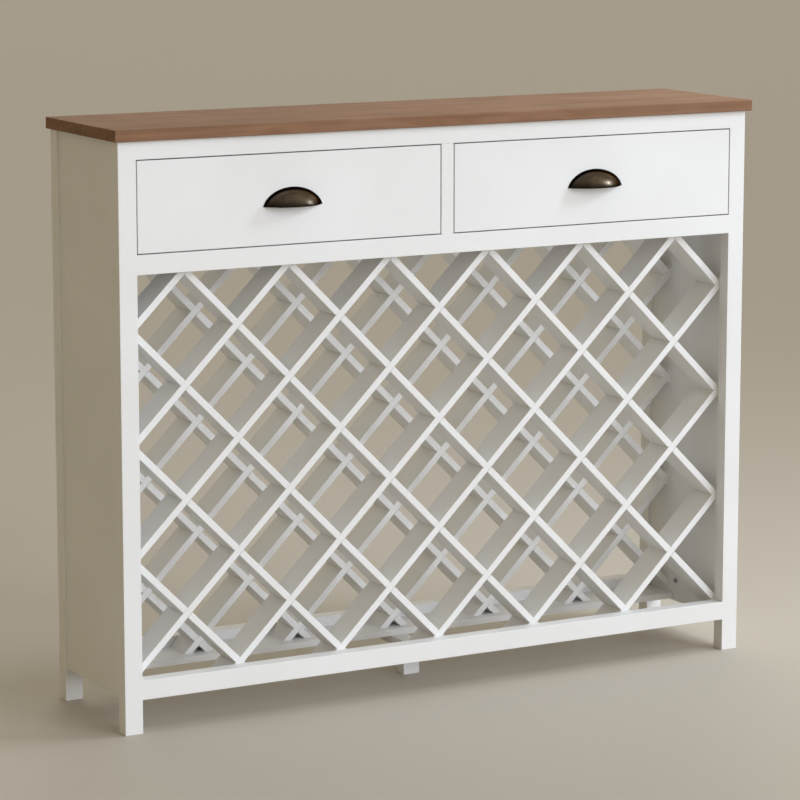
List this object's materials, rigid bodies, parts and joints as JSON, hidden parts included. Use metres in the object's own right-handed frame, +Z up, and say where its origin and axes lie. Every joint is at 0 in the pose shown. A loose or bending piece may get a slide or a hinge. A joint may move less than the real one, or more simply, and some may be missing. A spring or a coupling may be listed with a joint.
{
  "type": "wine cabinet",
  "caption": "White free-standing wine cabinet with a brown wood top, cup-pull drawers on roller runners and an open diamond lattice rack for bottles.",
  "frame": {"origin": "middle of the whole object's bounding box, on the floor", "axes": "+X to the right seen from the front, +Y to the rear, +Z up; the drawers open towards -Y"},
  "size_m": [1.014, 0.252, 0.824],
  "materials": {
    "white_paint": "satin white paint on wood board",
    "brown_wood": "reddish-brown stained wood, satin lacquer",
    "drawer_wood": "plain unpainted wood board",
    "bronze": "dark antique bronze, satin",
    "steel": "plain steel screws",
    "coated_steel": "white epoxy-coated sheet steel",
    "roller_plastic": "plain nylon"
  },
  "bodies": {
    "cabinet": {"top_board": "brown_wood", "front_left_post": "white_paint", "front_right_post": "white_paint", "rear_left_post": "white_paint", "rear_right_post": "white_paint", "left_side_panel": "white_paint", "right_side_panel": "white_paint", "front_top_rail": "white_paint", "front_mid_rail": "white_paint", "front_bottom_rail": "white_paint", "centre_stile": "white_paint", "rear_apron": "white_paint", "rear_bottom_rail": "white_paint", "drawer_bay_floor": "white_paint", "drawer_divider": "white_paint", "bottom_boards": "white_paint", "centre_bearer": "white_paint", "centre_foot": "white_paint", "runner_spacers": "white_paint", "panel_screws": "steel", "cabinet_runners": "coated_steel", "rising_slat_1": "white_paint", "rising_slat_2": "white_paint", "rising_slat_3": "white_paint", "rising_slat_4": "white_paint", "rising_slat_5": "white_paint", "rising_slat_6": "white_paint", "rising_slat_7": "white_paint", "rising_slat_8": "white_paint", "rising_slat_9": "white_paint", "falling_slat_1": "white_paint", "falling_slat_2": "white_paint", "falling_slat_3": "white_paint", "falling_slat_4": "white_paint", "falling_slat_5": "white_paint", "falling_slat_6": "white_paint", "falling_slat_7": "white_paint", "falling_slat_8": "white_paint", "falling_slat_9": "white_paint"},
    "left_drawer": {"left_drawer_front": "white_paint", "left_drawer_left_side": "drawer_wood", "left_drawer_right_side": "drawer_wood", "left_drawer_back": "drawer_wood", "left_drawer_bottom": "drawer_wood", "left_cup_pull": "bronze", "left_pull_screws": "steel", "left_drawer_runners": "coated_steel"},
    "left_front_rollers": {"left_front_rollers": "roller_plastic"},
    "left_rear_rollers": {"left_rear_rollers": "roller_plastic"},
    "right_drawer": {"right_drawer_front": "white_paint", "right_drawer_left_side": "drawer_wood", "right_drawer_right_side": "drawer_wood", "right_drawer_back": "drawer_wood", "right_drawer_bottom": "drawer_wood", "right_cup_pull": "bronze", "right_pull_screws": "steel", "right_drawer_runners": "coated_steel"},
    "right_front_rollers": {"right_front_rollers": "roller_plastic"},
    "right_rear_rollers": {"right_rear_rollers": "roller_plastic"}
  },
  "joints": [
    {"name": "left_drawer_slide", "type": "slide", "parent": "cabinet", "child": "left_drawer", "axis": [0, -1, 0], "range_m": [0, 0.125]},
    {"name": "left_front_roller_spin", "type": "hinge", "parent": "cabinet", "child": "left_front_rollers", "pos_m": [-0.24188, -0.069, 0.6764], "axis": [1, 0, 0], "range_deg": [0, 850]},
    {"name": "left_rear_roller_spin", "type": "hinge", "parent": "left_drawer", "child": "left_rear_rollers", "pos_m": [-0.24188, 0.078, 0.6743], "axis": [1, 0, 0], "range_deg": [0, 850]},
    {"name": "right_drawer_slide", "type": "slide", "parent": "cabinet", "child": "right_drawer", "axis": [0, -1, 0], "range_m": [0, 0.125]},
    {"name": "right_front_roller_spin", "type": "hinge", "parent": "cabinet", "child": "right_front_rollers", "pos_m": [0.24188, -0.069, 0.6764], "axis": [1, 0, 0], "range_deg": [0, 850]},
    {"name": "right_rear_roller_spin", "type": "hinge", "parent": "right_drawer", "child": "right_rear_rollers", "pos_m": [0.24188, 0.078, 0.6743], "axis": [1, 0, 0], "range_deg": [0, 850]}
  ],
  "couplings": [
    {"joint": "left_front_roller_spin", "follows": "left_drawer_slide", "rad_per_m": 117.65},
    {"joint": "left_rear_roller_spin", "follows": "left_drawer_slide", "rad_per_m": 117.65},
    {"joint": "right_front_roller_spin", "follows": "right_drawer_slide", "rad_per_m": 117.65},
    {"joint": "right_rear_roller_spin", "follows": "right_drawer_slide", "rad_per_m": 117.65}
  ]
}
